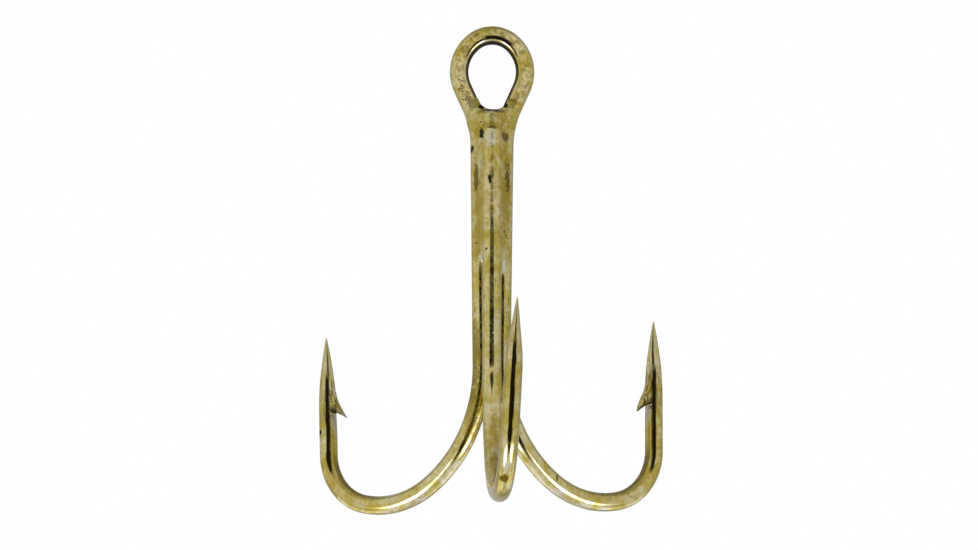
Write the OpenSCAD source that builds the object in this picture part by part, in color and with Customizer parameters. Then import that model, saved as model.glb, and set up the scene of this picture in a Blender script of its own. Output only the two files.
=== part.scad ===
// Brazed treble fishing hook.
// One wire is bent double: it makes the eye, two legs of the shank and the left and right hooks.
// A second wire with one hook is brazed into the front groove between the two legs.
// Origin at the centre of the eye, +Z up along the shank, the single hook toward -Y.
// The eye and the two legs lie in the plane y = 0. Left and right are as seen from the front.

/* [Wire] */
// diameter of the hook wire
wire_d = 1.75; // [1.60:0.05:1.90]

/* [Eye] */
// radius of the wire's centreline over the top of the eye
eye_top_r = 2.7; // [2.6:0.1:3.0]
// angle of that top arc on each side of the middle
eye_top_turn = 39.5; // [30:0.5:50]
// radius of the wire's centreline at the sides of the eye
eye_side_r = 3.7; // [3.4:0.1:4.0]
// angle at which the sides close toward the shank
eye_taper = 24; // [22:0.5:28]
// thickness of the eye, which is pressed flat front and back
eye_thickness = 1.46; // [1.3:0.02:1.6]
// height of the eye's lower corners below its centre
eye_floor = 3.46; // [3.3:0.02:3.6]

/* [Shank] */
// distance from the centre of the eye down to the start of the bends
shank_drop = 27.4; // [24:0.1:32]
// radius where each leg turns out into the eye
neck_r = 9.2; // [8:0.1:10]
// lean of each leg from the shank's axis, wider at the top
leg_lean = 0.7; // [0.5:0.05:0.8]
// distance from the centre of the eye down to the top of the single wire
single_top = 4.25; // [4.2:0.05:5.0]

/* [Bends] */
// radius of the first arc, where the wire leaves the shank
upper_bend_r = 13; // [11:0.1:15]
// angle of the first arc
upper_bend_turn = 56; // [50:0.5:60]
// radius of the second arc, at the bottom of the bend
lower_bend_r = 9.15; // [8:0.05:11]
// angle of the second arc
lower_bend_turn = 45.5; // [40:0.5:50]
// radius of the last arc, up to the point
heel_bend_r = 4.95; // [4.4:0.05:6]
// angle of the last arc
heel_bend_turn = 77.2; // [74:0.1:79]

/* [Points and barbs] */
// straight length from the last arc to the tip
point_run = 11.5; // [10.5:0.1:13]
// length of the ground taper
taper_length = 7; // [4.5:0.1:7.5]
// diameter of the tip
tip_d = 0.2; // [0.1:0.05:0.4]
// length of the barb along the wire
barb_length = 2.2; // [1.8:0.05:2.3]
// width of the barb where it leaves the wire
barb_width = 1.1; // [0.8:0.05:1.3]

/* [Each hook as made] */
// turn of the single hook from straight ahead
front_turn = 3.9; // [0:0.1:5]
// sideways lean of the single hook's point
front_lean = 3.15; // [0:0.05:4]
// extra length of the single hook's point
front_extra = -0.15; // [-0.6:0.05:1]
// extra length of the left hook's point
left_extra = -0.6; // [-0.6:0.05:1]
// extra length of the right hook's point
right_extra = 0.7; // [-0.6:0.05:1]
// how much lower the left bend starts
left_low = 0.15; // [-0.2:0.05:0.2]
// how much lower the right bend starts
right_low = -0.2; // [-0.2:0.05:0.2]
// change of the left hook's last arc, in degrees
left_open = -0.8; // [-1.5:0.1:1.5]
// change of the right hook's last arc, in degrees
right_open = 1.1; // [-1.5:0.1:1.5]
// how far the left barb stands out of the wire
left_barb = 1.3; // [0.7:0.05:1.4]
// how far the right barb stands out of the wire
right_barb = 1.05; // [0.7:0.05:1.4]
// how far the single hook's barb stands out of the wire
front_barb = 1.1; // [0.7:0.05:1.4]
// height of the left barb's tip above the last arc
left_barb_height = 3.4; // [3:0.05:4]
// height of the right barb's tip above the last arc
right_barb_height = 3.75; // [3:0.05:4]
// height of the single hook's barb tip above the last arc
front_barb_height = 3.6; // [3:0.05:4]

/* [Braze] */
// distance from the centre of the eye down to the end of the left groove's braze
left_braze_end = 17.6; // [15:0.1:24]
// distance from the centre of the eye down to the end of the right groove's braze
right_braze_end = 19; // [15:0.1:24]
// distance from the centre of the eye down to the end of the rear braze
rear_braze_end = 20; // [15:0.1:24]
// radius of the hollow surface of the braze
meniscus_r = 2; // [1.8:0.1:3]

/* [Hidden] */
$fn = 96;
// flats round the wire, and the most that a bend turns between two of its sections
sides = 24;
turn_step = 6;
// gap left between touching wires
touch = 0.02;
wire_r = wire_d / 2;
// distance of each leg's centre from the middle where the bends start
leg_x = wire_r + touch / 2;
// the single wire lies in the groove of the two legs
single_y = -sqrt(pow(wire_d + touch, 2) - pow(leg_x, 2));
// radius of the small arc that takes the lean out of a leg before its bend
straighten_r = 12;
// half width of the eye's centreline at its widest, at z = 0
eye_x = eye_top_r * sin(eye_top_turn) + eye_side_r * (1 - sin(eye_top_turn));
// top of the eye's centreline
eye_top_z = eye_top_r * (1 - cos(eye_top_turn)) + eye_side_r * cos(eye_top_turn);
// half thickness of the pressed eye
face = eye_thickness / 2;
// direction in which the hooks of the double wire open, in the wire's own frame
outward = 150;
// a braze piece starts at this depth, under the cap
braze_top = single_top + 0.55;
// half width of a leg's centreline at the top of the shank
leg_x_top = leg_x + (shank_drop - braze_top) * tan(leg_lean);

steel = [0.66, 0.61, 0.40];
braze = [0.70, 0.66, 0.47];

// Lengths of the neck's straight and of the leg for a leg that ends "low" below the common start
// of the bends. Across and down are what the two straights still have to cover.
function across() = eye_x - eye_side_r * (1 - cos(eye_taper)) - leg_x
    - neck_r * (cos(leg_lean) - cos(eye_taper)) - straighten_r * (1 - cos(leg_lean));
function down(low) = shank_drop + low - eye_side_r * sin(eye_taper)
    - neck_r * (sin(eye_taper) - sin(leg_lean)) - straighten_r * sin(leg_lean);
function neck_run(low) = (across() * cos(leg_lean) - down(low) * sin(leg_lean)) / sin(eye_taper - leg_lean);
function leg_run(low) = (down(low) * sin(eye_taper) - across() * cos(eye_taper)) / sin(eye_taper - leg_lean);

// Radius of the ground point at a share of the taper, 0 at the tip and 1 at full wire.
function point_radius(share) = tip_d / 2 + (wire_r - tip_d / 2) * (1 - pow(1 - share, 1.9));
// Length of the taper that fits above a barb.
function taper(extra, height) = min(taper_length, point_run + extra - height - barb_length * 0.15 - 0.1);

// Positions along a wire are 4 x 4 matrices whose Z axis is the wire's direction.
function move(v) = [[1, 0, 0, v[0]], [0, 1, 0, v[1]], [0, 0, 1, v[2]], [0, 0, 0, 1]];
function about_y(a) = [[cos(a), 0, sin(a), 0], [0, 1, 0, 0], [-sin(a), 0, cos(a), 0], [0, 0, 0, 1]];
function about_z(a) = [[cos(a), -sin(a), 0, 0], [sin(a), cos(a), 0, 0], [0, 0, 1, 0], [0, 0, 0, 1]];
upside_down = [[1, 0, 0, 0], [0, -1, 0, 0], [0, 0, -1, 0], [0, 0, 0, 1]];

// A stretch of wire: [radius of bend or length, turn, direction of the turn, and, at its end,
// the wire's radius, half thickness across its Y and depth of its nick on the inner side].
function line(length, radius = wire_r, half = wire_r, nick = 0, toward = 0) =
    [length, 0, toward, radius, half, nick];
function arc(radius, turn, toward = 0, half = wire_r) = [radius, turn, toward, wire_r, half, 0];

// Where a share of a stretch ends.
function along(start, s, share = 1) = s[1] == 0
    ? start * move([0, 0, s[0] * share])
    : start * about_z(s[2])
        * move([s[0] * (1 - cos(s[1] * share)), 0, s[0] * sin(s[1] * share)])
        * about_y(s[1] * share) * about_z(-s[2]);
function steps(s) = max(1, ceil(s[1] / turn_step));
// Sections of one stretch, without the one at its start.
function sections(start, s) = [
    for (i = [1 : steps(s)])
        concat([along(start, s, i / steps(s))], [[s[2], s[3], s[4], s[5]]])
];
function walk(start, stretches, i = 0) = i == len(stretches)
    ? []
    : concat(sections(start, stretches[i]), walk(along(start, stretches[i]), stretches, i + 1));
function finish(start, stretches, i = 0) = i == len(stretches)
    ? start
    : finish(along(start, stretches[i]), stretches, i + 1);

// Points round one section. The nick is taken off the side the wire bends toward.
function nicked(p, u, limit) = p - max(0, p * u - limit) * u;
function flattened(p, half) = [p[0], max(-half, min(half, p[1]))];
function placed(m, p) = [for (row = [0 : 2]) m[row] * [p[0], p[1], 0, 1]];
function ring(section) = let (toward = section[1][0], r = section[1][1], half = section[1][2])
    [for (k = [0 : sides - 1]) let (a = 360 * k / sides)
        placed(section[0], nicked(
            flattened([r * cos(a), r * sin(a)], half),
            [cos(toward), sin(toward)],
            section[1][3] > 0 ? r - section[1][3] : 2 * r
        ))];

// Solid through a list of rings.
module skin(rings) {
    last = len(rings) - 1;
    polyhedron(
        [for (r = rings) each r],
        concat(
            [[for (k = [0 : sides - 1]) k]],
            [for (i = [0 : last - 1], k = [0 : sides - 1]) let (n = (k + 1) % sides)
                [i * sides + k, (i + 1) * sides + k, (i + 1) * sides + n, i * sides + n]],
            [[for (k = [sides - 1 : -1 : 0]) last * sides + k]]
        )
    );
}

// The stretches of the double wire, from the top of the eye down to one point.
function eye_part() = [
    arc(eye_top_r, eye_top_turn, 0, face),
    arc(eye_side_r, 90 - eye_top_turn + eye_taper, 0, face)
];
function leg_part(low) = [
    line(neck_run(low)),
    arc(neck_r, eye_taper - leg_lean, 180),
    line(leg_run(low)),
    arc(straighten_r, leg_lean, 180)
];
function bend_part(open, toward, lean = 0) = [
    arc(upper_bend_r, upper_bend_turn, toward),
    arc(lower_bend_r, lower_bend_turn, toward + lean),
    arc(heel_bend_r, heel_bend_turn + open, toward + lean)
];
function point_part(extra, height, toward) = concat(
    [
        line(height - 1.3, toward = toward),
        line(1.3 + barb_length * 0.15, nick = 0.2, toward = toward),
        line(0.03, toward = toward),
        line(point_run + extra - taper(extra, height) - height - barb_length * 0.15 - 0.03)
    ],
    [for (i = [7 : -1 : 0]) line(taper(extra, height) / 8, point_radius(i / 8), point_radius(i / 8) + 0.01)]
);
eye_start = move([0, 0, eye_top_z]) * about_y(90);
eye_end = finish(eye_start, eye_part());

// Right half of the double wire as rings, and the place where its last arc ends.
function half_rings(low, extra, open, height) = [
    for (s = concat(
        [[eye_start, [0, wire_r, face, 0]]],
        walk(eye_start, concat(
            eye_part(), leg_part(low), bend_part(open, outward), point_part(extra, height, outward)
        ))
    )) ring(s)
];
function half_heel(low, open) = finish(eye_end, concat(leg_part(low), bend_part(open, outward)));
function mirrored(rings) = [for (r = rings) [for (p = r) [-p[0], p[1], p[2]]]];

single_start = move([0, single_y, -single_top]) * upside_down * about_z(90 - front_turn);
single_bends = concat([line(shank_drop - single_top)], bend_part(0, 0, -front_lean));

// Barb lifted out of the wire toward +X, its tip down at z = 0.
module barb(proud) {
    tip_x = wire_r + proud;
    intersection() {
        rotate([90, 0, 0])
            linear_extrude(height = barb_width, center = true)
                polygon([
                    [0.3 * wire_r, barb_length * 0.5],
                    [wire_r * 0.9, barb_length * 0.24],
                    [tip_x - 0.1, 0],
                    [tip_x, 0.04],
                    [wire_r + proud * 0.72, barb_length * 0.36],
                    [wire_r + proud * 0.38, barb_length * 0.62],
                    [wire_r + proud * 0.1, barb_length * 0.88],
                    [wire_r * 0.96, barb_length]
                ]);
        linear_extrude(height = barb_length)
            polygon([
                [0, -barb_width / 2],
                [wire_r, -barb_width / 2],
                [tip_x, -0.12],
                [tip_x, 0.12],
                [wire_r, barb_width / 2],
                [0, barb_width / 2]
            ]);
    }
}

// Barb of a hook whose last arc ends at the place heel.
module barb_at(heel, toward, height, proud) {
    multmatrix(heel * about_z(toward) * move([0, 0, height]))
        barb(proud);
}

module double_hook_wire() {
    right = half_rings(right_low, right_extra, right_open, right_barb_height);
    left = mirrored(half_rings(left_low, left_extra, left_open, left_barb_height));
    color(steel)
        union() {
            skin(concat([for (i = [len(left) - 1 : -1 : 1]) left[i]], right));
            barb_at(half_heel(right_low, right_open), outward, right_barb_height, right_barb);
            mirror([1, 0, 0])
                barb_at(half_heel(left_low, left_open), outward, left_barb_height, left_barb);
        }
}

module single_hook_wire() {
    top = [[single_start, [0, wire_r - 0.3, wire_r, 0]]];
    body = concat(
        [line(0.3), line(shank_drop - single_top - 0.3)],
        bend_part(0, 0, -front_lean),
        point_part(front_extra, front_barb_height, -front_lean)
    );
    color(steel)
        union() {
            skin([for (s = concat(top, walk(single_start, body))) ring(s)]);
            barb_at(finish(single_start, single_bends), -front_lean, front_barb_height, front_barb);
        }
}

// One leg of the shank with its neck, on the +X side.
module leg(low) {
    top = [[eye_end, [0, wire_r, face, 0]]];
    skin([for (s = concat(top, walk(eye_end, leg_part(low)))) ring(s)]);
}

module left_leg() {
    mirror([1, 0, 0])
        leg(left_low);
}

// Straight length of the single wire, from its top end down.
module single_shank() {
    translate([0, single_y, -shank_drop])
        cylinder(h = shank_drop - single_top, r = wire_r);
}

// Braze in one groove. The groove runs between wires centred at x = -half and x = half,
// opens toward +Y, and the piece runs from z = -foot up to z = -braze_top.
module groove_fill(half, foot) {
    depth = 0.66;
    difference() {
        translate([-half, 0, -foot])
            cube([2 * half, depth + 0.14, foot - braze_top]);
        translate([0, depth + meniscus_r, -foot - 1])
            cylinder(h = foot, r = meniscus_r);
        // drawn-out lower end
        translate([0, 0, -foot])
            rotate([50, 0, 0])
                translate([-2, 0, -2])
                    cube([4, 4, 2]);
    }
}

// Braze in the groove between the single wire and the leg on the +X side.
module front_groove(foot) {
    translate([leg_x_top / 2, single_y / 2, 0])
        rotate([0, 0, atan2(-single_y, leg_x_top) + 180])
            groove_fill(norm([leg_x_top, single_y]) / 2, foot);
}

module braze_groove_left() {
    color(braze)
        difference() {
            mirror([1, 0, 0])
                front_groove(left_braze_end);
            left_leg();
            single_shank();
        }
}

module braze_groove_right() {
    color(braze)
        difference() {
            front_groove(right_braze_end);
            leg(right_low);
            single_shank();
        }
}

module braze_between_legs() {
    color(braze)
        difference() {
            union() {
                groove_fill(leg_x_top, rear_braze_end);
                translate([0, 0, -rear_braze_end])
                    linear_extrude(height = rear_braze_end - braze_top)
                        polygon([[-leg_x_top, 0], [0, single_y], [leg_x_top, 0]]);
            }
            left_leg();
            leg(right_low);
            single_shank();
        }
}

module braze_cap() {
    color(braze)
        difference() {
            intersection() {
                translate([0, single_y + 0.42, -4.62])
                    sphere(r = 1.34);
                translate([-2, -3, -braze_top])
                    cube([4, 4, 3]);
            }
            // bottom of the eye's opening
            translate([0, 2, -eye_floor + 2.6])
                rotate([90, 0, 0])
                    cylinder(h = 6, r = 2.75);
            left_leg();
            leg(right_low);
            single_shank();
        }
}

double_hook_wire();
single_hook_wire();
braze_groove_left();
braze_groove_right();
braze_between_legs();
braze_cap();
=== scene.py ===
"""Treble hook: detailed wires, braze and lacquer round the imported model.

Lengths are in millimetres until a mesh is made. The frame is the CAD's: origin at the centre of the eye,
+Z up the shank, the single hook toward -Y. Angles are in degrees.
"""

import math

import bpy
import numpy as np
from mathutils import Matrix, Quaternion, Vector


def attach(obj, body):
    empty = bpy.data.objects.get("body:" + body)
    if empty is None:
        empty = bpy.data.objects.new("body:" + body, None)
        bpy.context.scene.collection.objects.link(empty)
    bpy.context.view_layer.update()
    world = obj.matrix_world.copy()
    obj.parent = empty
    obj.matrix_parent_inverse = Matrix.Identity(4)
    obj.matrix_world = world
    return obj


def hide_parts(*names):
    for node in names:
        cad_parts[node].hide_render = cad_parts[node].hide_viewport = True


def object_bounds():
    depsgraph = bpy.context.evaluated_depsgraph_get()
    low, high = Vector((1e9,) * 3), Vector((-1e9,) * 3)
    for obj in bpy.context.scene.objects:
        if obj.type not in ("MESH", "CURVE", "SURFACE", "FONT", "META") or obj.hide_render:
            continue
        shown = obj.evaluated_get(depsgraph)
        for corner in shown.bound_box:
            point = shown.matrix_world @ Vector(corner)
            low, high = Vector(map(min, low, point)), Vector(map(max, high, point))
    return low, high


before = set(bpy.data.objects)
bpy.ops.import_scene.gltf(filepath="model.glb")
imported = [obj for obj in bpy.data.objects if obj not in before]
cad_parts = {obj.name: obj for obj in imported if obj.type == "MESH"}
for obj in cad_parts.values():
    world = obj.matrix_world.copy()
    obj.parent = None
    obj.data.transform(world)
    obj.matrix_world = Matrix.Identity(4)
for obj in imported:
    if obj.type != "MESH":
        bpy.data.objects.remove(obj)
cad_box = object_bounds()
MM = 0.001

# ---------------------------------------------------------------- sizes
# They follow the CAD model, apart from the left hook's extra length, the single hook's turn and lean, the tip,
# the flattened sides, the floor of the eye and the extent of the braze.
WIRE_R = 0.875
EYE_TOP = (2.7, 39.5)
EYE_SIDE_R = 3.7
EYE_TAPER = 24.0
EYE_HALF = 0.73
EYE_FLOOR = 3.76
SHANK_DROP = 27.4
NECK_R = 9.2
LEG_LEAN = 0.7
STRAIGHTEN_R = 12.0
SINGLE_TOP = 4.25
BENDS = ((13.0, 56.0), (9.15, 45.5), (4.95, 77.2))
POINT_RUN = 11.5
TAPER = 7.0
TIP_R = 0.05
BARB_LENGTH = 2.2
BARB_WIDTH = 1.1
CUT_LENGTH = 2.5
CUT_DEPTH = 0.28
# shares by which the bend is narrower than round, and by which the point is narrower still
FORGED = 0.08
GROUND = 0.14
TOUCH = 0.02  # gap between two wires
BEVEL_START = 0.32  # where the eye's worn inner bevel starts, from the middle of the wire

LEG_X = WIRE_R + TOUCH / 2
SINGLE_Y = -math.sqrt((2 * WIRE_R + TOUCH) ** 2 - LEG_X**2)
# Each hook as made. low: start of the bend below nominal. extra: length added to the point. open: degrees
# added to the last arc. proud, height, sharpness: the barb's size, place and sharpness. painted_shade_from:
# how far round toward the inside of the bend the painted shade starts, as a cosine. crease_end: how far the
# eye's soot and painted shade run.
FRONT = {
    "low": 0.0,
    "extra": -0.15,
    "open": 0.0,
    "proud": 1.1,
    "height": 3.6,
    "sharpness": 1.0,
    "painted_shade_from": 0.45,
    "turn": 3.4,
    "lean": -3.65,
}
LEFT = {
    "low": 0.15,
    "extra": -0.38,
    "open": -0.8,
    "proud": 1.3,
    "height": 3.4,
    "sharpness": 1.25,
    "painted_shade_from": 0.80,
    "crease_end": 1.1,
}
RIGHT = {
    "low": -0.2,
    "extra": 0.7,
    "open": 1.1,
    "proud": 1.05,
    "height": 3.75,
    "sharpness": 0.8,
    "painted_shade_from": 0.80,
    "crease_end": 2.6,
}


def sind(a):
    return math.sin(math.radians(a))


def cosd(a):
    return math.cos(math.radians(a))


def smoothstep(x, a, b):
    t = np.clip((x - a) / (b - a), 0.0, 1.0)
    return t * t * (3 - 2 * t)


def lumps(p, size, seed):
    """Smooth random unevenness from -1 to 1 at points p, with lumps about `size` across."""
    q = np.asarray(p, float) / size + 57.3 * (seed + 1)
    i = np.floor(q).astype(np.int64)
    f = q - i
    f = f * f * (3 - 2 * f)
    out = np.zeros(len(q))
    for dx in (0, 1):
        for dy in (0, 1):
            for dz in (0, 1):
                h = (i[:, 0] + dx) * 73856093 ^ (i[:, 1] + dy) * 19349663 ^ (i[:, 2] + dz) * 83492791
                h = (h ^ (h >> 13)) * 1274126177 + seed * 668265263
                h = ((h ^ (h >> 16)) & 0xFFFF) / 32767.5 - 1
                wx = f[:, 0] if dx else 1 - f[:, 0]
                wy = f[:, 1] if dy else 1 - f[:, 1]
                wz = f[:, 2] if dz else 1 - f[:, 2]
                out += h * wx * wy * wz
    return out


# ---------------------------------------------------------------- centrelines
def turn_y(a):
    return np.array([[cosd(a), 0, sind(a)], [0, 1, 0], [-sind(a), 0, cosd(a)]])


def turn_z(a):
    return np.array([[cosd(a), -sind(a), 0], [sind(a), cosd(a), 0], [0, 0, 1]])


def walk(place, stretches, spacing=0.1):
    """Positions, frames and distances along a wire. place is (position, 3 x 3 frame); a stretch is
    (length, 0, 0) for a straight or (radius, turn, toward) for an arc."""
    pos, rot = place
    out_p, out_r, out_s, total = [pos], [rot], [0.0], 0.0
    for size, turn, toward in stretches:
        length = size * math.radians(turn) if turn else size
        n = max(1, round(length / spacing))
        for k in range(1, n + 1):
            if turn:
                a = turn * k / n
                step = turn_z(toward) @ np.array([size * (1 - cosd(a)), 0, size * sind(a)])
                r = rot @ turn_z(toward) @ turn_y(a) @ turn_z(-toward)
            else:
                step = np.array([0, 0, size * k / n])
                r = rot
            out_p.append(pos + rot @ step)
            out_r.append(r)
            out_s.append(total + length * k / n)
        pos, rot, total = out_p[-1], out_r[-1], out_s[-1]
    return np.array(out_p), np.array(out_r), np.array(out_s)


def neck_and_leg(low):
    """Lengths of the neck's straight and of the leg, so that the leg ends beside its partner."""
    taper, lean = EYE_TAPER, LEG_LEAN
    eye_x = EYE_TOP[0] * sind(EYE_TOP[1]) + EYE_SIDE_R * (1 - sind(EYE_TOP[1]))
    across = eye_x - EYE_SIDE_R * (1 - cosd(taper)) - LEG_X - NECK_R * (cosd(lean) - cosd(taper))
    across = across - STRAIGHTEN_R * (1 - cosd(lean))
    down = SHANK_DROP + low - EYE_SIDE_R * sind(taper)
    down = down - NECK_R * (sind(taper) - sind(lean)) - STRAIGHTEN_R * sind(lean)
    return (
        (across * cosd(lean) - down * sind(lean)) / sind(taper - lean),
        (down * sind(taper) - across * cosd(taper)) / sind(taper - lean),
    )


def hook_stretches(h, toward, lean=0.0):
    (r1, a1), (r2, a2), (r3, a3) = BENDS
    return [
        (r1, a1, toward),
        (r2, a2, toward + lean),
        (r3, a3 + h["open"], toward + lean),
        (POINT_RUN + h["extra"], 0, 0),
    ]


OUTWARD = 150.0
EYE_TOP_Z = EYE_TOP[0] * (1 - cosd(EYE_TOP[1])) + EYE_SIDE_R * cosd(EYE_TOP[1])


def half_wire(h):
    """Centreline of the right half of the double wire, from the top of the eye to the point."""
    neck, leg = neck_and_leg(h["low"])
    start = (np.array([0, 0, EYE_TOP_Z]), turn_y(90))
    stretches = [
        (EYE_TOP[0], EYE_TOP[1], 0),
        (EYE_SIDE_R, 90 - EYE_TOP[1] + EYE_TAPER, 0),
        (neck, 0, 0),
        (NECK_R, EYE_TAPER - LEG_LEAN, 180),
        (leg, 0, 0),
        (STRAIGHTEN_R, LEG_LEAN, 180),
    ] + hook_stretches(h, OUTWARD)
    return walk(start, stretches)


def single_wire():
    start = (np.array([0, SINGLE_Y, -SINGLE_TOP]), np.diag([1.0, -1.0, -1.0]) @ turn_z(90 - FRONT["turn"]))
    return walk(start, [(SHANK_DROP - SINGLE_TOP, 0, 0)] + hook_stretches(FRONT, 0, FRONT["lean"]))


# ---------------------------------------------------------------- sections
SIDES = 72
SKIN_R = WIRE_R - 0.004
EDGE_SOFT = 0.01  # how soft the edges of the pressed face are
BARB_SIDES = 24
SHARP_ANGLE = 13


def section(s, h, toward, eye_to=None):
    """Offsets (n, SIDES, 2) round a wire at distances s, and marks for where it is cut, ground or worked.

    toward is the inside of the bend; eye_to is where the eye's flattening runs out, for the double wire.
    """
    a = np.linspace(0, 2 * np.pi, SIDES, endpoint=False)
    left = s[-1] - s
    share = np.clip(left / TAPER, 0, 1)
    r = TIP_R + (SKIN_R - TIP_R) * (1 - (1 - share) ** 1.9)
    x = r[:, None] * np.cos(a)
    y = r[:, None] * np.sin(a)
    if eye_to is not None:
        # pressed flat at the eye with soft edges, running out down the neck
        press = 1 - smoothstep(s, *eye_to)[:, None]
        # at the top of the ring the inner edge is worn to a long round bevel
        bevel = np.maximum(0, x - BEVEL_START) ** 2 * (1 - smoothstep(s, 2.2, 4.2)[:, None])
        half = WIRE_R + 0.1 - (WIRE_R + 0.1 - EYE_HALF - 0.005) * press - bevel
        off = np.abs(y)
        blend = np.clip(0.5 + 0.5 * (off - half) / EDGE_SOFT, 0, 1)
        flat = off * (1 - blend) + half * blend - EDGE_SOFT * blend * (1 - blend)
        y = np.sign(y) * (off * (1 - press) + np.minimum(flat, off) * press)
    u = np.array([cosd(toward), sind(toward)])
    around = np.stack([np.cos(a), np.sin(a)], -1) @ u
    # the sides of the bend are forged a little flat, and the point is ground flatter still
    forged = FORGED * (1 - smoothstep(left, 16.0, 27.0)) + GROUND * (1 - smoothstep(left, 2.0, 5.0))
    aside = (y * u[0] - x * u[1]) * forged[:, None]
    x = x + aside * u[1]
    y = y - aside * u[0]
    # the cut that raised the barb: a flat that deepens from the heel toward the barb's root
    below = left - (POINT_RUN + h["extra"] - h["height"])
    root = -BARB_LENGTH * 0.22
    depth = CUT_DEPTH * np.clip(1 - (below - root) / CUT_LENGTH, 0, 1) ** 1.2 * (below > root)
    over = np.maximum(0, x * u[0] + y * u[1] - (r - depth)[:, None])
    over[depth == 0] = 0
    x = x - over * u[0]
    y = y - over * u[1]
    heel = smoothstep(below, 0.6, 2.0) * (1 - smoothstep(below, 9.0, 13.0))
    inner = np.zeros(x.shape)
    crease_soot_and_shade = inner
    if eye_to is not None:
        # the inside edge of the pressed ring, later darkened with soot and a painted dark reflection
        inner = press * smoothstep(np.cos(a), 0.55, 0.80)
        # soot and painted shade lie along the crease where the bevel starts
        crease = smoothstep(x, 0.10, 0.22) * (1 - smoothstep(x, 0.44, 0.52))
        crease_soot_and_shade = crease * (1 - smoothstep(s, h["crease_end"] - 0.7, h["crease_end"]))[:, None]
    bend = smoothstep(below, 2.5, 5.0) * (1 - smoothstep(below, 12.0, 17.0))
    front = smoothstep(below, -4.6, -3.4) * (1 - smoothstep(below, 6.0, 8.5))
    # painted shade along the inside of each bend
    inside_painted_shade = 0.42 * bend[:, None] * smoothstep(around, h["painted_shade_from"], h["painted_shade_from"] + 0.11)
    marks = {
        "inner": inner,
        "front": np.broadcast_to(front[:, None], x.shape),
        "soot": np.maximum(crease_soot_and_shade, inside_painted_shade),
        # darker along the inside of the wire about the heel
        "stain": 0.75 * heel[:, None] * smoothstep(around, 0.25, 0.75),
        "cut": np.clip(over / 0.03, 0, 1),
        "point": np.broadcast_to(1 - smoothstep(left, 1.5, 5.5)[:, None], x.shape),
        "worked": smoothstep(below, -5.2, -2.8)[:, None]
        * (1 - smoothstep(below, -0.4, 0.9))[:, None]
        * (0.55 + 0.45 * around),
    }
    return np.stack([x, y], -1), marks


def tube(p, frames, offsets):
    return p[:, None, :] + offsets[..., :1] * frames[:, None, :, 0] + offsets[..., 1:] * frames[:, None, :, 1]


def skin(rings):
    """Vertices and faces of a closed tube through rings (n, sides, 3)."""
    n, m, _ = rings.shape
    i = np.arange(n - 1)[:, None] * m
    k = np.arange(m)[None, :]
    k1 = (k + 1) % m
    quads = np.stack([i + k, i + k1, i + m + k1, i + m + k], -1).reshape(-1, 4).tolist()
    ends = [list(range(m))[::-1], [(n - 1) * m + j for j in range(m)]]
    return rings.reshape(-1, 3), quads + ends


def barb_rings(h):
    """A thin spur lifted out of the wire, in the frame of its hook: X inward, Z toward the point."""
    t = 1 - (1 - np.linspace(0, 1, 34)) ** 1.5
    proud = h["proud"]
    upper = np.stack([SKIN_R - 0.06 + (proud + 0.06) * t, BARB_LENGTH * (1 - t) ** h["sharpness"]], -1)
    upper[:, 1] += 0.5 * np.exp(-t / 0.09)
    start = np.array([SKIN_R - 0.36, 0.78])
    tip = np.array([SKIN_R + proud - 0.02 / h["sharpness"] ** 3, -0.03 - 0.6 * max(0.0, 1 - h["sharpness"])])
    lower = start + (tip - start) * t[:, None]
    lower[:, 1] += 0.10 * np.sin(np.pi * t)
    width = BARB_WIDTH * (1 - t**1.6) ** 0.8 + 0.07 / h["sharpness"]
    rings = []
    for k in range(len(t)):
        v = np.linspace(-1, 1, BARB_SIDES // 2)[:, None]
        up = upper[k] - lower[k]
        top = lower[k] + up * np.sqrt(1 - 0.72 * v**2)
        bottom = lower[k] + up * 0.12 * (1 - v**2)
        out = np.concatenate([top, bottom[::-1]])
        across = np.concatenate([v, v[::-1]])[:, 0] * width[k] / 2
        rings.append(np.stack([out[:, 0], across, out[:, 1]], -1))
    return np.array(rings)


def barb_at(h, line, toward):
    p, frames, s = line
    base = s[-1] - POINT_RUN - h["extra"] + h["height"]
    k = int(np.argmin(np.abs(s - base)))
    rot = frames[k] @ turn_z(toward)
    origin = p[k] + frames[k][:, 2] * (base - s[k])
    return barb_rings(h) @ rot.T + origin


# ---------------------------------------------------------------- mesh objects
def make_object(name, parts):
    """One object from parts of (vertices in mm, faces, {attribute: values})."""
    verts, faces, base = [], [], 0
    for v, f, _ in parts:
        verts.append(v)
        faces += [[base + j for j in face] for face in f]
        base += len(v)
    mesh = bpy.data.meshes.new(name)
    mesh.from_pydata((np.concatenate(verts) * MM).tolist(), [], faces)
    for key in sorted({k for part in parts for k in part[2]}):
        values = [np.asarray(part[2].get(key, np.zeros(len(part[0]))), float) for part in parts]
        if values[0].ndim == 2 or key == "grain":
            attribute = mesh.attributes.new(key, "FLOAT_VECTOR", "POINT")
            attribute.data.foreach_set("vector", np.concatenate(values).ravel())
        else:
            attribute = mesh.attributes.new(key, "FLOAT", "POINT")
            attribute.data.foreach_set("value", np.concatenate(values))
    mesh.update()
    mesh.shade_smooth()
    mesh.set_sharp_from_angle(angle=math.radians(SHARP_ANGLE))
    made = bpy.data.objects.new(name, mesh)
    bpy.context.scene.collection.objects.link(made)
    return made


def spots(p, places):
    """How much points p lie in soft-edged spots given as (centre, half sizes, strength), at most 1."""
    out = np.zeros(len(p))
    ragged = 0.32 * lumps(p, 0.22, 21) + 0.18 * lumps(p, 0.5, 22)
    for centre, half, strength in places:
        d = np.sqrt((((p - centre) / half) ** 2).sum(-1)) + ragged
        out = np.maximum(out, strength * (1 - smoothstep(d, 0.65, 1.1)))
    return out
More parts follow.
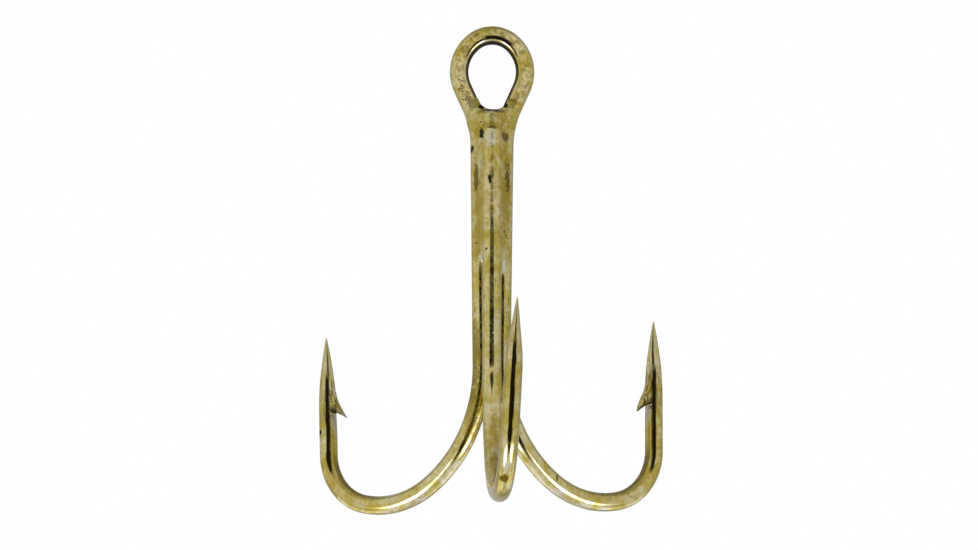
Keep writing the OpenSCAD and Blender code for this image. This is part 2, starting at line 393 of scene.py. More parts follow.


# Marks on the hook, in mm: centre, half sizes, strength. Beside soot, stains, pits and flecks, some are
# painted light and shade.
SOOT_AND_PAINTED_SHADE = [
    # painted dark reflection: a line along the lip of the eye's floor and at its two corners
    ((0.10, -0.80, -3.98), (1.05, 2.20, 0.24), 1.0),
    ((-1.00, -0.90, -3.55), (0.30, 1.20, 0.26), 1.0),
    ((1.20, -0.90, -3.35), (0.30, 1.20, 0.24), 1.0),
    ((-1.80, -0.20, -7.35), (0.22, 0.60, 0.50), 1.0),
    ((-1.40, -0.75, -10.2), (0.30, 0.60, 1.40), 0.5),
    ((1.36, -0.75, -10.2), (0.36, 0.60, 1.65), 0.5),
    # painted shade in the two pockets under the collar
    ((-0.92, -1.50, -6.15), (0.26, 0.90, 0.55), 0.8),
    ((1.25, -1.20, -6.35), (0.40, 0.90, 0.52), 0.55),
    ((-1.70, 0.00, -27.0), (0.90, 1.20, 4.50), 0.22),
    ((1.75, 0.00, -25.0), (0.80, 1.20, 3.50), 0.14),
    ((-1.04, -1.80, -5.05), (0.12, 0.40, 0.10), 0.9),
    # painted dark reflection: a spot on the front of the single wire
    ((-0.20, -2.45, -10.5), (0.13, 0.40, 0.50), 1.0),
    ((-1.43, -0.90, -16.2), (0.10, 0.40, 0.10), 0.8),
    ((-0.50, -2.20, -16.9), (0.12, 0.40, 0.10), 0.8),
    ((-3.00, -0.75, 3.00), (0.20, 0.40, 0.16), 0.5),
    ((-16.15, 8.10, -33.0), (0.30, 0.60, 0.34), 1.0),
    ((6.00, 2.60, -37.6), (0.20, 0.70, 0.45), 0.9),
    ((4.65, 2.00, -36.2), (0.12, 0.60, 0.12), 0.8),
]
STAINS_AND_SHADOW = [
    ((-1.70, -0.40, -26.5), (0.80, 1.00, 4.50), 1.0),
    ((1.40, -1.20, -11.8), (0.60, 0.90, 3.80), 1.0),
    # painted shadow under the lower edge of the collar
    ((0.10, -2.10, -5.45), (1.50, 0.90, 0.42), 0.9),
    ((0.70, -1.90, -4.60), (0.70, 0.90, 0.45), 0.7),
    ((1.15, -1.30, -15.15), (0.13, 0.50, 0.24), 1.3),
    ((1.30, -1.20, -15.50), (0.13, 0.50, 0.22), 1.3),
    ((1.52, -1.00, -15.75), (0.18, 0.50, 0.12), 1.3),
    ((1.15, -1.60, -13.0), (0.40, 0.70, 1.80), 0.9),
    ((-1.30, -1.00, -12.6), (0.40, 0.70, 0.90), 0.7),
    ((1.00, -17.2, -38.9), (0.46, 0.60, 0.38), 2.0),
    ((-1.60, 0.30, -31.0), (1.10, 1.60, 4.60), 1.1),
    ((1.90, 0.30, -30.5), (0.90, 1.60, 3.20), 0.7),
]
PITS = [
    ((-2.50, -0.70, -1.70), (0.75, 0.60, 1.60), 1.0),
    ((-1.85, -0.70, -2.90), (0.34, 0.60, 0.60), 0.6),
    ((-3.15, -0.70, -0.50), (0.25, 0.60, 0.70), 0.8),
    ((3.05, -0.70, -1.10), (0.35, 0.60, 0.55), 0.8),
    ((1.50, -0.80, -21.3), (0.35, 0.60, 1.40), 0.9),
]
FLECKS_AND_HIGHLIGHTS = [
    # painted highlights: glints at the lower ends of the two fills, and a light patch on the single wire below
    # the collar
    ((1.10, -1.20, -18.5), (0.20, 0.60, 0.60), 1.0),
    ((-1.07, -1.20, -17.5), (0.16, 0.60, 0.30), 1.0),
    ((-0.16, -2.40, -6.55), (0.60, 0.40, 0.95), 0.45),
    ((0.50, -2.30, -22.7), (0.08, 0.30, 0.09), 1.0),
    ((0.15, -2.40, -24.65), (0.09, 0.30, 0.11), 1.0),
    ((0.42, -2.35, -24.95), (0.08, 0.30, 0.09), 1.0),
    ((0.52, -2.35, -28.1), (0.08, 0.30, 0.08), 1.0),
    # painted highlights: small glints on the collar beside the single wire's end
    ((1.25, -1.60, -5.25), (0.10, 0.50, 0.16), 0.6),
    ((1.05, -1.80, -5.50), (0.12, 0.50, 0.07), 0.5),
    ((1.55, -1.20, -4.55), (0.08, 0.60, 0.14), 0.4),
    ((-1.20, -1.40, -8.80), (0.09, 0.50, 0.12), 0.5),
]


def surface_marks(p):
    places = {"soot": SOOT_AND_PAINTED_SHADE, "stain": STAINS_AND_SHADOW, "pits": PITS, "fleck": FLECKS_AND_HIGHLIGHTS}
    return {key: spots(p, value) for key, value in places.items()}


def wire_part(line, offsets, marks, flip=False):
    """Vertices and attributes of a wire, a little uneven all over."""
    p, frames, s = line
    rings = tube(p, frames, offsets)
    if flip:
        rings = rings * [-1, 1, 1]
    n, m, _ = rings.shape
    flat = rings.reshape(-1, 3)
    angle = np.linspace(0, 2 * np.pi, m, endpoint=False)
    grain = np.empty((n, m, 3))
    grain[..., 0] = WIRE_R * np.cos(angle)
    # the left half reads another part of the pattern
    grain[..., 1] = WIRE_R * np.sin(angle) + (10 if flip else 0)
    grain[..., 2] = s[:, None]
    grain = grain.reshape(-1, 3)
    uneven = 0.006 * (1 + lumps(flat, 0.9, 1)) + 0.0015 * (1 + lumps(grain / [1, 1, 4], 0.22, 2))
    worked = marks["worked"].ravel()
    uneven += worked * 0.016 * (1 + lumps(grain / [1, 1, 2.0], 0.24, 5))
    centre = np.repeat(p if not flip else p * [-1, 1, 1], m, 0)
    out = flat - centre
    size = np.linalg.norm(out, axis=1, keepdims=True)
    uneven *= np.clip(size[:, 0] / WIRE_R, 0, 1)
    flat = flat - out / np.maximum(size, 1e-6) * uneven[:, None]
    attributes = {key: value.ravel() for key, value in marks.items()}
    attributes["grain"] = grain
    attributes.pop("front")
    # the inside of the pressed eye gets soot and a painted dark reflection
    inner = attributes.pop("inner") * smoothstep(flat[:, 1], -0.63, -0.46)
    # a painted dark reflection: a streak down the front of the part worked by the barb cut
    facing = -out[:, 1] / np.maximum(size[:, 0], 1e-6) + 0.012 * lumps(grain / [1, 1, 3.0], 0.3, 6)
    painted_reflection_streak = 0.9 * marks["front"].ravel() * smoothstep(facing, 0.965, 0.985)
    attributes["soot"] = np.maximum(np.maximum(attributes["soot"], 0.9 * inner), painted_reflection_streak)
    for key, value in surface_marks(flat).items():
        attributes[key] = np.maximum(value, attributes.get(key, 0))
    return flat, attributes


right_line = half_wire(RIGHT)
left_line = half_wire(LEFT)
single_line = single_wire()
eye_arc = EYE_TOP[0] * math.radians(EYE_TOP[1]) + EYE_SIDE_R * math.radians(90 - EYE_TOP[1] + EYE_TAPER)
EYE_RUN_OUT = (eye_arc + 5.2, eye_arc + 7.0)


def spur_part(h, line, toward, flip=False):
    v, f = skin(barb_at(h, line, toward))
    if flip:
        v = v * [-1, 1, 1]
        f = [face[::-1] for face in f]
    marks = {"worked": np.ones(len(v)), "grain": v, **surface_marks(v)}
    # painted shade on the underside of each barb
    underside = np.tile(np.arange(BARB_SIDES) >= BARB_SIDES // 2, len(v) // BARB_SIDES)
    marks["soot"] = np.maximum(marks["soot"], 0.75 * underside)
    return v, f, marks


halves = {}
for side, line, h in (("right", right_line, RIGHT), ("left", left_line, LEFT)):
    offsets, marks = section(line[2], h, OUTWARD, EYE_RUN_OUT)
    halves[side] = wire_part(line, offsets, marks, flip=side == "left")


def joined_halves():
    """The whole double wire: the left half reversed, then the right half, sharing the ring at the top."""
    (left_v, left_a), (right_v, right_a) = halves["left"], halves["right"]

    def back(values):
        rings = values.reshape(-1, SIDES, *values.shape[1:])[:0:-1]
        return rings.reshape(-1, *values.shape[1:])

    v = np.concatenate([back(left_v), right_v])
    attributes = {key: np.concatenate([back(left_a[key]), right_a[key]]) for key in right_a}
    v, faces = skin(v.reshape(-1, SIDES, 3))
    return v, faces, attributes


double = make_object(
    "double_hook_wire_visual",
    [joined_halves(), spur_part(RIGHT, right_line, OUTWARD), spur_part(LEFT, left_line, OUTWARD, flip=True)],
)

offsets, marks = section(single_line[2], FRONT, FRONT["lean"])
offsets *= (1 - 0.35 * (1 - smoothstep(single_line[2], 0, 0.35)))[:, None, None]
wire_v, wire_a = wire_part(single_line, offsets, marks)
_, wire_f = skin(wire_v.reshape(-1, SIDES, 3))
single = make_object(
    "single_hook_wire_visual",
    [(wire_v, wire_f, wire_a), spur_part(FRONT, single_line, FRONT["lean"])],
)


# ---------------------------------------------------------------- braze
def surface_net(field, origin, step):
    """Closed surface where the field crosses zero, inside negative."""
    shape = np.array(field.shape) - 1
    acc = np.zeros((*shape, 3))
    count = np.zeros(shape)
    edges = []
    for axis in range(3):
        lo = [slice(None)] * 3
        hi = [slice(None)] * 3
        lo[axis], hi[axis] = slice(None, -1), slice(1, None)
        fa, fb = field[tuple(lo)], field[tuple(hi)]
        cross = (fa < 0) != (fb < 0)
        idx = np.argwhere(cross)
        va, vb = fa[cross], fb[cross]
        t = va / (va - vb)
        o1, o2 = [k for k in range(3) if k != axis]
        for d1 in (0, 1):
            for d2 in (0, 1):
                c = idx.copy()
                c[:, o1] -= d1
                c[:, o2] -= d2
                ok = ((c >= 0) & (c < shape)).all(1)
                local = np.zeros((len(c), 3))
                local[:, axis] = t
                local[:, o1] = d1
                local[:, o2] = d2
                np.add.at(acc, tuple(c[ok].T), local[ok])
                np.add.at(count, tuple(c[ok].T), 1)
        edges.append((axis, o1, o2, idx, va < 0))
    used = count > 0
    number = np.full(shape, -1)
    number[used] = np.arange(used.sum())
    cells = np.argwhere(used)
    verts = origin + step * (cells + acc[used] / count[used][:, None])
    faces = []
    for axis, o1, o2, idx, inside in edges:
        inner = (idx[:, o1] > 0) & (idx[:, o2] > 0) & (idx[:, o1] < shape[o1]) & (idx[:, o2] < shape[o2])
        idx, inside = idx[inner], inside[inner]
        ring = []
        for d1, d2 in ((0, 0), (1, 0), (1, 1), (0, 1)):
            c = idx.copy()
            c[:, o1] -= d1
            c[:, o2] -= d2
            ring.append(number[tuple(c.T)])
        q = np.stack(ring, -1)
        flip = inside if axis != 1 else ~inside
        q[~flip] = q[~flip][:, ::-1]
        faces.append(q)
    return verts, np.concatenate(faces).tolist()


def smin(a, b, k):
    """Smooth union: k is how wide the blend is."""
    h = np.clip(0.5 + 0.5 * (b - a) / np.maximum(k, 1e-6), 0, 1)
    return b * (1 - h) + a * h - k * h * (1 - h)


def distance_to_line(grid_x, grid_y, grid_z, line_p):
    """Distance from grid points to a centreline sampled finely enough for its points to stand for it."""
    shape = np.broadcast_shapes(grid_x.shape, grid_y.shape, grid_z.shape)
    out = np.empty(shape)
    for k in range(shape[2]):
        z = grid_z[0, 0, k]
        near = line_p[np.abs(line_p[:, 2] - z) < 1.6]
        if len(near) == 0:
            near = line_p[[np.argmin(np.abs(line_p[:, 2] - z))]]
        dx = grid_x[:, :, 0, None] - near[:, 0]
        dy = grid_y[:, :, 0, None] - near[:, 1]
        dz = z - near[:, 2]
        out[:, :, k] = np.sqrt((dx**2 + dy**2 + dz**2).min(-1))
    return out


STEP = 0.055  # of the grid
FILL_HOLLOW = 0.05  # how far the braze in a groove stays under the brim
COLLAR_PROUD = 0.08  # how much less hollow it is at the collar
RAMP_DEPTH = 0.75  # how deep the ramp at its lower end goes
FILM = 0.08  # how far the braze reaches under the skin of the wires
RIM_DIVE = 0.03
THINNEST = 0.0005
SPLIT = -5.6  # height at which the cap starts
LAP = 0.12  # how far the lower pieces reach up into the cap
REAR_END = -20.0
FLOOR_R = 1.45
FLOOR_X = 0.12
BRAZED_LENGTH = 34  # how far from the top of the eye, along the wire, the braze is worked out
GRID_LOW = np.array([-2.4, -2.7, -21.0])
GRID_HIGH = np.array([2.4, 1.2, -2.6])
counts = np.round((GRID_HIGH - GRID_LOW) / STEP).astype(int)
gx = (GRID_LOW[0] + STEP * np.arange(counts[0]))[:, None, None]
gy = (GRID_LOW[1] + STEP * np.arange(counts[1]))[None, :, None]
gz = (GRID_LOW[2] + STEP * np.arange(counts[2]))[None, None, :]
shape = (len(gx), gy.shape[1], gz.shape[2])
gx3, gy3, gz3 = (np.broadcast_to(g, shape) for g in (gx, gy, gz))
grid_points = np.stack([gx3, gy3, gz3], -1).reshape(-1, 3)

w_right = distance_to_line(gx3, gy3, gz3, right_line[0][right_line[2] < BRAZED_LENGTH]) - WIRE_R
w_left = distance_to_line(gx3, gy3, gz3, left_line[0][left_line[2] < BRAZED_LENGTH] * [-1, 1, 1]) - WIRE_R
w_single = np.sqrt(gx**2 + (gy - SINGLE_Y) ** 2) - WIRE_R
w_single = np.broadcast_to(w_single, shape)
end = gz3 + SINGLE_TOP + 0.25
round_end = np.sqrt(np.maximum(w_single + 0.3, 0) ** 2 + np.maximum(end + 0.3, 0) ** 2) - 0.3
w_single = np.where(end > -0.3, np.maximum(round_end, np.maximum(w_single, end)), w_single)
wires = np.minimum(np.minimum(w_left, w_right), w_single)
ripple = lumps(grid_points, 0.9, 3).reshape(shape) * 0.6 + lumps(grid_points, 0.35, 4).reshape(shape) * 0.4


def to_segment(ax, ay, bx, by):
    """Distance in plan from the grid points to the line between two wire centres."""
    ex, ey = bx - ax, by - ay
    t = np.clip(((gx3 - ax) * ex + (gy3 - ay) * ey) / (ex * ex + ey * ey), 0, 1)
    return np.hypot(gx3 - ax - t * ex, gy3 - ay - t * ey)


def fill(across, end_z, run_out):
    """Braze filling a groove almost to the brim, proud at the collar, with a ramp at its lower end."""
    hollow = FILL_HOLLOW + 0.025 * ripple - COLLAR_PROUD * smoothstep(gz3, -6.10, -5.00)
    hollow = hollow + RAMP_DEPTH * (1 - smoothstep(gz3, end_z - run_out, end_z + 0.35))
    return across - (WIRE_R - hollow)


# how far each leg is from the middle at every height
heights = GRID_LOW[2] + STEP * np.arange(shape[2])
lines = {"right": right_line[0], "left": left_line[0] * [-1, 1, 1]}
leg_at = {}
for side, path in lines.items():
    down = path[(path[:, 2] < -2) & (path[:, 2] > -26)]
    order = np.argsort(down[:, 2])
    leg_at[side] = np.interp(heights, down[order, 2], down[order, 0])[None, None, :]
lean_back = SINGLE_Y * (1 - 0.75 * smoothstep(gz3, -4.35, -3.6))
fill_left = fill(to_segment(leg_at["left"], 0.0, 0.0, lean_back), end_z=-17.7, run_out=0.7)
fill_right = fill(to_segment(leg_at["right"], 0.0, 0.0, lean_back), end_z=-18.5, run_out=1.2)
fill_rear = fill(to_segment(leg_at["left"], 0.0, leg_at["right"], 0.0), end_z=-19.6, run_out=1.6)
whole = np.minimum(np.minimum(fill_left, fill_right), fill_rear)
# two pockets that the braze has missed under the collar
for px, depth in ((-0.98, 0.06), (1.18, 0.05)):
    pocket = np.sqrt(((gx3 - px) / 0.22) ** 2 + ((gz3 + 6.2) / 0.42) ** 2)
    whole = whole + depth * (1 - smoothstep(pocket, 0.5, 1.3)) * (gy3 < -0.5)
# the rounded floor of the eye
floor_cut = FLOOR_R - np.sqrt((gx3 - FLOOR_X) ** 2 + (gz3 + EYE_FLOOR - FLOOR_R) ** 2)
whole = -smin(-whole, -floor_cut, 0.16)
blended = smin(wires, whole, 0.10)
raised = wires - blended
# the thin rim of the braze dives under the skin of the wires
blended = blended + RIM_DIVE * (1 - smoothstep(raised, 0.0, 0.03))
body = np.maximum(np.maximum(blended, -(wires + FILM)), THINNEST - raised)
# how far out beyond the line from the single wire's centre to each leg's centre
apart = math.hypot(LEG_X, SINGLE_Y)
side_r = ((gx3 - LEG_X) * -SINGLE_Y - gy3 * LEG_X) / apart
side_l = ((-gx3 - LEG_X) * -SINGLE_Y - gy3 * LEG_X) / apart
pieces = {
    "braze_groove_left": np.maximum(np.maximum(body, -side_l), gz3 - SPLIT - LAP),
    "braze_groove_right": np.maximum(np.maximum(body, -side_r), gz3 - SPLIT - LAP),
    "braze_cap": np.maximum(body, SPLIT - gz3),
}
core = np.maximum(np.maximum(np.maximum(side_l, side_r), -gy3 - 2), -(wires + FILM))
rear = np.maximum(np.minimum(np.maximum(body, -gy3), np.maximum(core, gy3)), gz3 - SPLIT - LAP)
rear = np.maximum(rear, REAR_END - gz3)
pieces["braze_between_legs"] = rear

objects = {"double_hook_wire": double, "single_hook_wire": single}
for name, field in pieces.items():
    # the outermost layer of the grid is outside, so that every surface closes
    closed = np.ones(shape)
    closed[1:-1, 1:-1, 1:-1] = field[1:-1, 1:-1, 1:-1]
    v, f = surface_net(closed, GRID_LOW, STEP)
    marks = {"grain": v, **surface_marks(v)}
    if name == "braze_cap":
        cell = np.clip(np.round((v - GRID_LOW) / STEP).astype(int), 0, np.array(shape) - 1)
        rim = 1 - smoothstep(raised[tuple(cell.T)], 0.004, 0.035)
        marks["stain"] = np.maximum(marks["stain"], 1.15 * rim * (v[:, 1] < -0.2))
    objects[name] = make_object(name + "_visual", [(v, f, marks)])


# ---------------------------------------------------------------- materials
class Graph:
    """Short ways to add nodes to a material or world tree."""

    def __init__(self, tree):
        self.tree = tree

    def add(self, kind, inputs=(), out=0, **settings):
        node = self.tree.nodes.new("ShaderNode" + kind)
        for key, value in settings.items():
            setattr(node, key, value)
        for key, value in dict(inputs).items():
            socket = node.inputs[key]
            if isinstance(value, bpy.types.NodeSocket):
                self.tree.links.new(value, socket)
            else:
                socket.default_value = value
        return node.outputs[out]

    def math(self, operation, a, b=0.0, clamp=False):
        return self.add("Math", {0: a, 1: b}, operation=operation, use_clamp=clamp)

    def ramp(self, value, start, end, low=0.0, high=1.0):
        inputs = {"Value": value, "From Min": start, "From Max": end, "To Min": low, "To Max": high}
        return self.add("MapRange", inputs, interpolation_type="SMOOTHSTEP")

    def mark(self, name):
        return self.add("Attribute", out=2, attribute_name=name)

    def noise(self, vector, scale, detail=2.0, roughness=0.5, distortion=0.0):
        inputs = {"Vector": vector, "Scale": scale, "Detail": detail, "Roughness": roughness}
        return self.add("TexNoise", {**inputs, "Distortion": distortion})

    def mix(self, factor, a, b, blend="MIX"):
        inputs = {0: factor, 6: a, 7: b}
        return self.add("Mix", inputs, out=2, data_type="RGBA", blend_type=blend)


SOOT_AND_PAINTED_SHADE_COLOUR = (0.022, 0.012, 0.002, 1)
PIT_COLOUR = (0.030, 0.022, 0.006, 1)
SCRATCH_COLOUR = (0.12, 0.08, 0.01, 1)
HEAVY_STAIN_COLOUR = (0.24, 0.15, 0.01, 1)
BARE_METAL_COLOUR = (0.62, 0.58, 0.42, 1)
FLECK_AND_HIGHLIGHT_COLOUR = (1.0, 0.98, 0.9, 1)


def lacquered_metal(name, olive, khaki, pale, rough, shine):
    """Bronze lacquer over metal: mottled, speckled and pitted, with soot, stains and flecks, and with painted
    shade, a painted shadow, painted dark reflections and painted highlights, by attribute.
    """
    material = bpy.data.materials.new(name)
    material.use_nodes = True
    g = Graph(material.node_tree)
    bsdf = material.node_tree.nodes["Principled BSDF"]
    place = g.add("TexCoord", out=3)
    mm = g.add("VectorMath", {0: place, 1: (1000.0, 1000.0, 1000.0)}, operation="MULTIPLY")
    grain = g.add("Attribute", out=1, attribute_name="grain")
    drawn = g.add("VectorMath", {0: grain, 1: (1.0, 1.0, 0.12)}, operation="MULTIPLY")

    cloud = g.noise(mm, 0.55, 3.0, 0.6, 0.4)
    blotch = g.noise(mm, 1.9, 3.0, 0.55, 0.6)
    speckle = g.noise(mm, 7.0, 3.0, 0.7)
    streak = g.noise(drawn, 5.0, 3.0, 0.6)

    tarnish = g.math("ADD", g.ramp(blotch, 0.42, 0.72), g.ramp(cloud, 0.48, 0.70, 0.0, 0.6), clamp=True)
    tarnish = g.math("ADD", tarnish, g.mark("stain"), clamp=True)
    colour = g.mix(g.ramp(cloud, 0.35, 0.62), (*pale, 1), (*khaki, 1))
    colour = g.mix(g.math("MULTIPLY", tarnish, 0.75), colour, (*olive, 1))
    heavy = g.math("SUBTRACT", g.mark("stain"), 0.95, clamp=True)
    colour = g.mix(g.math("MULTIPLY", heavy, 1.5, clamp=True), colour, HEAVY_STAIN_COLOUR)
    shade = g.math("ADD", g.ramp(speckle, 0.3, 0.7, 0.90, 1.09), g.ramp(streak, 0.3, 0.7, -0.08, 0.08))
    colour = g.add("VectorMath", {0: colour, 3: shade}, operation="SCALE")
    bare = g.math("ADD", g.mark("cut"), g.math("MULTIPLY", g.mark("point"), 0.55), clamp=True)
    bare = g.math("MULTIPLY", bare, g.ramp(speckle, 0.3, 0.6, 0.45, 0.85))
    colour = g.mix(bare, colour, BARE_METAL_COLOUR)
    worked = g.mark("worked")
    scratch = g.ramp(g.noise(drawn, 6.0, 2.0, 0.6), 0.46, 0.60)
    scratched = g.math("MULTIPLY", worked, scratch)
    colour = g.mix(g.math("MULTIPLY", scratched, 0.9), colour, SCRATCH_COLOUR)

    cells = g.add("TexVoronoi", {"Vector": mm, "Scale": 4.6, "Randomness": 1.0})
    size = g.ramp(g.noise(mm, 1.7, 2.0), 0.52, 0.74, 0.0, 0.20)
    size = g.math("ADD", size, g.math("MULTIPLY", g.mark("pits"), 0.33))
    size = g.math("ADD", size, g.math("MULTIPLY", worked, 0.10))
    pit = g.math("MULTIPLY", g.math("SUBTRACT", size, cells), 12.0, clamp=True)
    colour = g.mix(pit, colour, PIT_COLOUR)
    # soot, together with shade and dark reflections painted in the same dark colour
    soot = g.math("MULTIPLY", g.mark("soot"), g.ramp(speckle, 0.25, 0.6, 0.95, 1.40), clamp=True)
    colour = g.mix(soot, colour, SOOT_AND_PAINTED_SHADE_COLOUR)
    # flecks, and highlights painted in the same near-white colour
    colour = g.mix(g.mark("fleck"), colour, FLECK_AND_HIGHLIGHT_COLOUR)
    g.tree.links.new(colour, bsdf.inputs["Base Color"])

    roughness = g.ramp(blotch, 0.3, 0.7, rough - 0.05, rough + 0.07)
    roughness = g.math("ADD", roughness, g.math("MULTIPLY", soot, 0.15))
    roughness = g.math("ADD", roughness, g.math("MULTIPLY", g.mark("stain"), 0.20))
    roughness = g.math("ADD", roughness, g.math("MULTIPLY", worked, 0.12))
    g.tree.links.new(roughness, bsdf.inputs["Roughness"])
    dull = g.math("MAXIMUM", g.math("MAXIMUM", soot, pit), g.mark("fleck"))
    clean = g.math("SUBTRACT", 1.0, dull, clamp=True)
    g.tree.links.new(g.math("MULTIPLY", clean, shine), bsdf.inputs["Metallic"])
    lacquer = g.math("MULTIPLY", g.math("SUBTRACT", clean, heavy, clamp=True), 0.32)
    g.tree.links.new(lacquer, bsdf.inputs["Coat Weight"])
    bsdf.inputs["Coat Roughness"].default_value = 0.08
    bsdf.inputs["Specular IOR Level"].default_value = 0.1

    height = g.math("ADD", g.math("MULTIPLY", speckle, 0.0012), g.math("MULTIPLY", blotch, 0.002))
    height = g.math("ADD", height, g.math("MULTIPLY", streak, 0.0016))
    height = g.math("ADD", height, g.math("MULTIPLY", scratched, 0.012))
    height = g.math("SUBTRACT", height, g.math("MULTIPLY", pit, 0.03))
    bump = g.add("Bump", {"Strength": 1.0, "Distance": MM, "Height": height})
    g.tree.links.new(bump, bsdf.inputs["Normal"])
    return material


wire_material = lacquered_metal(
    "bronzed_wire",
    olive=(0.50, 0.37, 0.035),
    khaki=(0.64, 0.52, 0.13),
    pale=(0.77, 0.68, 0.36),
    rough=0.11,
    shine=1.0,
)
braze_material = lacquered_metal(
    "bronzed_braze",
    olive=(0.47, 0.35, 0.02),
    khaki=(0.63, 0.51, 0.09),
    pale=(0.78, 0.69, 0.32),
    rough=0.26,
    shine=0.6,
)

for node, piece in objects.items():
    piece.data.materials.clear()
    piece.data.materials.append(braze_material if node.startswith("braze") else wire_material)
    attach(piece, "root")
    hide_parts(node)

# ---------------------------------------------------------------- stage, light and camera
scene = bpy.context.scene
scene.view_settings.view_transform = "Standard"


def pale_floor(height, reach=3):
    """A pale floor that can't be seen from below or in the hook's reflections."""
    mesh = bpy.data.meshes.new("floor")
    corners = [(-reach, -reach), (reach, -reach), (reach, reach), (-reach, reach)]
    mesh.from_pydata([(x, y, height) for x, y in corners], [], [(0, 1, 2, 3)])
    material = bpy.data.materials.new("pale_floor")
    material.use_nodes = True
    g = Graph(material.node_tree)
    paint = g.tree.nodes["Principled BSDF"]
    paint.inputs["Base Color"].default_value = (0.85, 0.85, 0.84, 1)
    paint.inputs["Roughness"].default_value = 0.8
    below = g.add("NewGeometry", out="Backfacing")
    reflected = g.add("LightPath", out="Is Glossy Ray")
    hidden = g.math("MAXIMUM", below, reflected)
    clear = g.add("BsdfTransparent")
    shown = g.add("MixShader", {0: hidden, 1: paint.outputs["BSDF"], 2: clear})
    g.tree.links.new(shown, g.tree.nodes["Material Output"].inputs["Surface"])
    mesh.materials.append(material)
    return bpy.data.objects.new("floor", mesh)


floor = pale_floor(cad_box[0].z)
scene.collection.objects.link(floor)

world = bpy.data.worlds.new("studio")
scene.world = world
world.use_nodes = True
world.node_tree.nodes.clear()
g = Graph(world.node_tree)
direction = g.add("TexCoord", out=0)
split = g.tree.nodes.new("ShaderNodeSeparateXYZ")
g.tree.links.new(direction, split.inputs[0])
to_x, to_y, to_z = split.outputs
degrees = 180 / math.pi
elevation = g.math("MULTIPLY", g.math("ARCSINE", to_z), degrees)
azimuth = g.math("MULTIPLY", g.math("ARCTAN2", to_x, g.math("MULTIPLY", to_y, -1.0)), degrees)
beside = g.math("ABSOLUTE", azimuth)


def product(*factors):
    out = factors[0]
    for factor in factors[1:]:
        out = g.math("MULTIPLY", out, factor)
    return out


# an even room, a little darker behind the hook than in front of it
light = g.ramp(beside, 80.0, 130.0, 0.66, 0.45)
light = g.math("ADD", light, g.ramp(azimuth, -60.0, 60.0, 0.05, -0.03))
# dark camera stand in front: wide at the camera, narrow at its top and pointed below
reach = g.ramp(elevation, 8.0, 10.2, 28.0, 14.0)
widening = g.add("MapRange", {"Value": elevation, "From Min": -48.0, "From Max": -16.0})
reach = g.math("MULTIPLY", reach, widening)
stand = g.math("MULTIPLY", g.math("SUBTRACT", reach, beside), 0.5, clamp=True)
stand = product(stand, g.ramp(elevation, 10.0, 10.6, 1.0, 0.0))
# a dark arm above the camera
arm_width = g.ramp(elevation, 20.0, 32.0, 24.0, 5.0)
arm = g.math("MULTIPLY", g.math("SUBTRACT", arm_width, beside), 0.35, clamp=True)
arm = product(arm, g.ramp(elevation, 13.6, 14.8), g.ramp(elevation, 28.0, 42.0, 0.95, 0.0))
stand = g.math("MAXIMUM", stand, arm)
light = product(light, g.math("SUBTRACT", 1.0, g.math("MULTIPLY", stand, 0.98)))
# the room is brighter straight above the stand
slot = product(
    g.ramp(elevation, 9.8, 10.8),
    g.ramp(elevation, 13.4, 14.6, 1.0, 0.0),
    g.ramp(beside, 16.0, 34.0, 1.0, 0.0),
)
light = g.math("ADD", light, g.math("MULTIPLY", slot, 0.18))
# two soft lamps low in front, left and right
lamp = product(
    g.ramp(elevation, -28.0, -16.0, 1.0, 0.0),
    g.ramp(elevation, -52.0, -43.0),
    g.ramp(beside, 18.0, 38.0),
    g.ramp(beside, 54.0, 76.0, 1.0, 0.0),
)
# two more behind the hook, left and right
back_lamp = product(
    g.ramp(elevation, -26.0, -18.0, 1.0, 0.0),
    g.ramp(elevation, -62.0, -52.0),
    g.ramp(beside, 95.0, 110.0),
    g.ramp(beside, 140.0, 155.0, 1.0, 0.0),
)
lamp = g.math("ADD", lamp, g.math("MULTIPLY", back_lamp, 0.15))
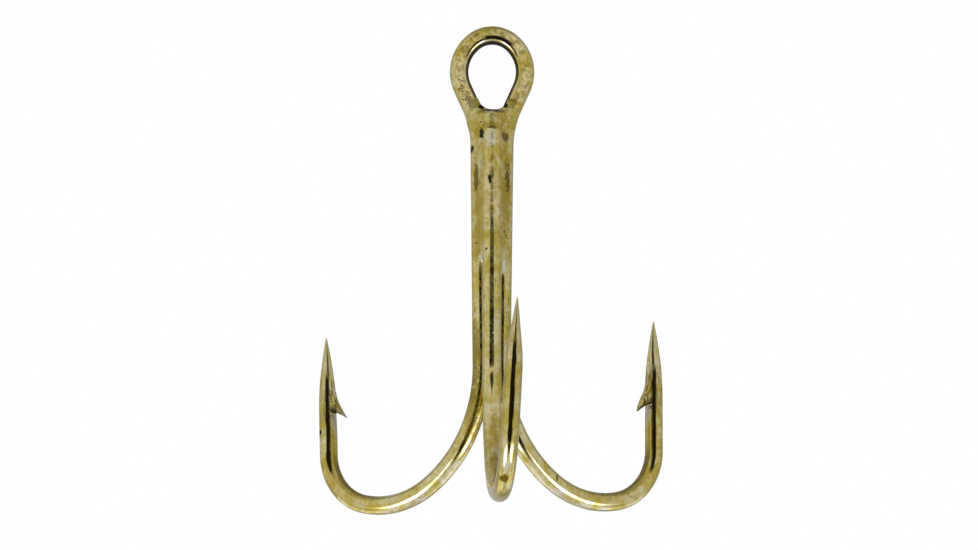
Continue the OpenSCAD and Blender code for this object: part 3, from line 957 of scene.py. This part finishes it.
# a pale table below, brighter at the sides
depth = g.math("MAXIMUM", g.math("MULTIPLY", to_z, -1.0), 0.02)
aside = g.math("ABSOLUTE", g.math("DIVIDE", to_x, depth))
under = g.ramp(elevation, -58.0, -46.0, 1.0, 0.0)
ahead = g.math("DIVIDE", g.math("MULTIPLY", to_y, -1.0), depth)
table = product(g.ramp(aside, 0.12, 0.50, 0.0, 0.35), g.ramp(ahead, 0.0, 0.4, 1.0, 0.0))
table = g.math("ADD", table, 0.82)
light = g.math("ADD", product(light, g.math("SUBTRACT", 1.0, under)), product(table, under))
LAMP_STRENGTH = 3.6
light = g.math("ADD", light, g.math("MULTIPLY", lamp, LAMP_STRENGTH))
# a darker ceiling
ceiling = g.ramp(elevation, 42.0, 60.0)
light = product(light, g.math("SUBTRACT", 1.0, g.math("MULTIPLY", ceiling, 0.3)))
tint = g.mix(under, (1, 1, 1, 1), (0.92, 0.97, 1.45, 1))
tint = g.mix(g.math("MULTIPLY", lamp, 1.0, clamp=True), tint, (0.90, 0.96, 2.1, 1))
studio = g.add("Background", {"Color": tint, "Strength": light})
plain = g.add("Background", {"Color": (1, 1, 1, 1), "Strength": 1.0})
seen = g.add("LightPath", out=0)
shown = g.add("MixShader", {0: seen, 1: studio, 2: plain})
world_output = g.tree.nodes.new("ShaderNodeOutputWorld")
g.tree.links.new(shown, world_output.inputs["Surface"])

# the camera looks up at the hook from a little below
CAMERA_TARGET = Vector((-0.255, -0.51, -19.10)) * MM
CAMERA_AWAY = 260.5 * MM
CAMERA_BELOW = math.radians(8.0)
CAMERA_ROLL = math.radians(-0.10)
lens = bpy.data.cameras.new("camera")
lens.sensor_width = 36.0
lens.lens = 104.5
lens.clip_start = 0.01
lens.clip_end = 20
camera = bpy.data.objects.new("camera", lens)
scene.collection.objects.link(camera)
camera.location = CAMERA_TARGET + CAMERA_AWAY * Vector((0, -math.cos(CAMERA_BELOW), -math.sin(CAMERA_BELOW)))
line_of_sight = CAMERA_TARGET - camera.location
camera.rotation_mode = "QUATERNION"
camera.rotation_quaternion = line_of_sight.to_track_quat("-Z", "Y")
camera.rotation_quaternion.rotate(Quaternion(line_of_sight, CAMERA_ROLL))
scene.camera = camera
